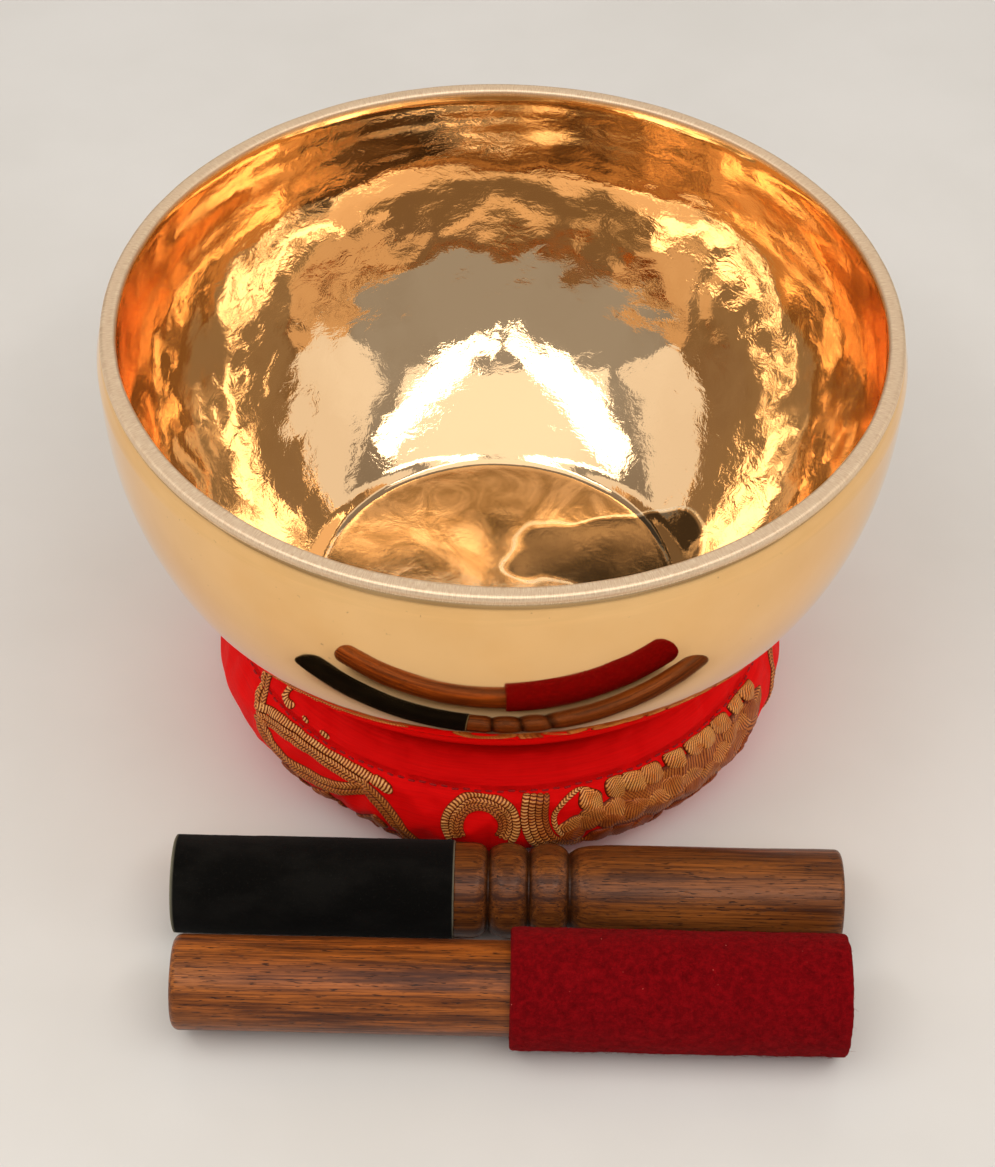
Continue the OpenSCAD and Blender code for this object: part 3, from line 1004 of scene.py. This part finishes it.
def suede_stick_piece():
    low, high = cad_box("suede_mallet_stick")
    length, radius, depth = high[0] - low[0], 14.2, 2.8
    sleeve = suede_high[0] - low[0]
    bead_w, gap = 11.6, 0.5
    first = sleeve + 10.3
    second = first + bead_w + gap
    barrel = second + bead_w + gap
    band_end, fall = sleeve + 5.4, np.linspace(0.2, 1.5, 9)
    band = [(radius, sleeve), (radius, band_end)]
    band += [(radius - depth * (1 - math.cos(t)), band_end + 4.4 * math.sin(t)) for t in fall]
    flare = [(radius - depth, barrel), (radius - depth + 0.7, barrel + 0.8), (radius - 1.1, barrel + 2.6),
             (radius - 0.45, barrel + 5.5), (radius - 0.05, barrel + 12), (radius, barrel + 24),
             (radius - 0.12, length - 26), (radius + 0.05, length - 8)]
    end = arc((radius - 1.7, length - 1.9), 1.7, 0, 80, 7) + [(radius - 5, length - 0.1), (0.3, length)]
    line = [(0.3, 0), (suede_r - 1.1, 0), (suede_r - 1.0, 1), (suede_r - 1.0, sleeve)] + band
    line += bead_line(first, bead_w, radius, depth) + bead_line(second, bead_w, radius, depth) + flare + end

    def values(points, run, turn):
        # groove is painted shade: 0 on the bead tops, rising to 1 deep in the grooves between them
        below = radius - np.hypot(points[..., 1], points[..., 2])
        on_side = (points[..., 0] > sleeve + 2) & (points[..., 0] < barrel + 6)
        return {"groove": step(0.5, depth, below) * on_side}

    material = wood_material("turned_rosewood", light=(0.27, 0.080, 0.015), dark=(0.050, 0.013, 0.004),
                             streak=(0.40, 0.130, 0.026), figure=0.7, shift=3.0)
    piece = turned("suede_mallet_wood", evenly(line, 0.55)[::-1], 128, left_end(low, high), "X",
                   material, wood_relief, values)
    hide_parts("suede_mallet_stick")
    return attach(piece, "suede_mallet")


def felt_stick_piece():
    low, high = cad_box("felt_mallet_stick")
    length, radius = high[0] - low[0], (high[1] - low[1]) / 2
    start = [(0.3, 0), (radius - 5, 0.15)] + arc((radius - 2.2, 2.4), 2.2, -85, 0, 8)
    line = start + [(radius - 0.1, 30), (radius, 60), (radius, length - 1)]
    line += [(radius - 1, length), (0.3, length)]
    material = wood_material("straight_rosewood", light=(0.44, 0.122, 0.019), dark=(0.065, 0.015, 0.004),
                             streak=(0.56, 0.185, 0.034), figure=0.25, shift=0.0)
    piece = turned("felt_mallet_wood", evenly(line, 0.7)[::-1], 128, left_end(low, high), "X",
                   material, wood_relief)
    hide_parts("felt_mallet_stick")
    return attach(piece, "felt_mallet")


def sleeve_line(r_in, r_out, length, edge):
    """A wrapped sleeve's closed section, from its right end along the outside and back inside."""
    outside = arc((r_out - edge, length - edge), edge, 90, 0, 7) + arc((r_out - edge, edge), edge, 0, -90, 7)
    return np.array(outside + [(r_in, 0), (r_in, length)])


def butt_joint(turn, width, depth):
    """The closed slit on the underside, where a wrapped sheet meets itself."""
    off = np.abs((turn + math.pi / 2 + math.pi) % TAU - math.pi) * 15
    return -depth * np.exp(-(off / width) ** 2)


def suede_sleeve_piece():
    length = suede_high[0] - suede_low[0]
    line = evenly_closed(sleeve_line(suede_r - 0.9, suede_r, length, 0.4), 0.8)

    def relief(points, run, turn):
        radius = np.hypot(points[..., 1], points[..., 2])
        outer = step(suede_r - 0.6, suede_r - 0.2, radius)
        nap = ripple(points, 7, 60) * 0.10 + ripple(points, 1.7, 61) * 0.05
        return outer * (nap - 0.06 + butt_joint(turn, 0.7, 0.5))

    def values(points, run, turn):
        radius = np.hypot(points[..., 1], points[..., 2])
        end = np.maximum(1 - step(0.2, 0.9, points[..., 0]), step(length - 0.25, length, points[..., 0]))
        return {"cut": end * (1 - 0.4 * step(suede_r - 0.25, suede_r - 0.05, radius))}

    piece = turned("suede_wrap", line, 180, left_end(suede_low, suede_high), "X",
                   suede_material(), relief, values, closed=True)
    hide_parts("suede_sleeve")
    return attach(piece, "suede_mallet")


def felt_sleeve_piece():
    low, high = cad_box("felt_sleeve")
    start = left_end(low, high)
    length, radius = high[0] - low[0], (high[1] - low[1]) / 2
    line = evenly_closed(sleeve_line(radius - 4, radius, length, 1.1), 0.6)

    def relief(points, run, turn):
        out = np.hypot(points[..., 1], points[..., 2])
        outer = step(radius - 3.6, radius - 2.6, out)
        fuzz = ripple(points, 12, 70) * 0.30 + ripple(points, 4.5, 71) * 0.16
        fuzz += ripple(points, 1.3, 72) * 0.09 + ripple(points, 0.7, 73) * 0.07
        return outer * (fuzz - 0.12 + butt_joint(turn, 1.2, 1.4))

    felt = felt_material()
    piece = turned("felt_wrap", line, 200, start, "X", felt, relief, closed=True)
    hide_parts("felt_sleeve")
    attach(piece, "felt_mallet")
    fuzz = fibres("felt_fibres", 3200, start, radius - 0.35, length, felt)
    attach(fuzz, "felt_mallet")


def fibres(name, count, centre, radius, length, material, joints=5, thick=0.055):
    """Short loose wool fibres, each a thin curved spike with its root inside the felt."""
    random = np.random.default_rng(11)
    turn = random.uniform(0, TAU, count)
    root = random.uniform(1.5, length - 1.5, count)
    lean = random.uniform(0, TAU, count)
    reach = random.uniform(1.4, 3.4, count)
    lift = random.uniform(0.25, 0.75, count)
    curl_by = random.uniform(-1.2, 1.2, count)
    t = np.linspace(0, 1, joints)[None]
    heading = lean[:, None] + curl_by[:, None] * t
    along = root[:, None] + reach[:, None] * t * np.cos(heading)
    round_by = turn[:, None] + reach[:, None] * t * np.sin(heading) / radius
    out = radius + lift[:, None] * np.sin(math.pi * 0.6 * t) - 0.05 * t
    path = np.stack([along, out * np.cos(round_by), out * np.sin(round_by)], -1)
    outward = np.stack([np.zeros_like(round_by), np.cos(round_by), np.sin(round_by)], -1)
    ahead = np.gradient(path, axis=1)
    ahead /= np.linalg.norm(ahead, axis=2)[..., None]
    across = np.cross(ahead, outward)
    size = thick * (1 - 0.7 * t)[..., None]
    corners = [path + size * outward, path - size * (0.5 * outward + 0.87 * across),
               path - size * (0.5 * outward - 0.87 * across)]
    points = np.stack(corners, 2).reshape(-1, 3) + np.asarray(centre, float)
    points[:, 2] = np.maximum(points[:, 2], 0.05)
    faces = []
    for k in range(count):
        first = k * joints * 3
        faces += grid_faces(joints, 3, False, first)
        faces.append([first + 2, first + 1, first])
        faces.append([first + joints * 3 - 3, first + joints * 3 - 2, first + joints * 3 - 1])
    return link(name, points, reversed_faces(faces), material)


camera()
studio()
floor()
bowl_piece()
silk = silk_material("red_silk", (0.98, 0.003, 0.003), (0.84, 0.0015, 0.002))
base_silk = silk_material("red_base_cloth", (0.50, 0.006, 0.008), (0.36, 0.003, 0.005))
gold = gold_thread_material()
thread = thread_material()
cushion = cushion_piece()
brocade_piece(cushion)
for number, seam in enumerate(SEAMS):
    stitch_piece(cushion, number, seam)
suede_stick_piece()
suede_sleeve_piece()
felt_stick_piece()
felt_sleeve_piece()
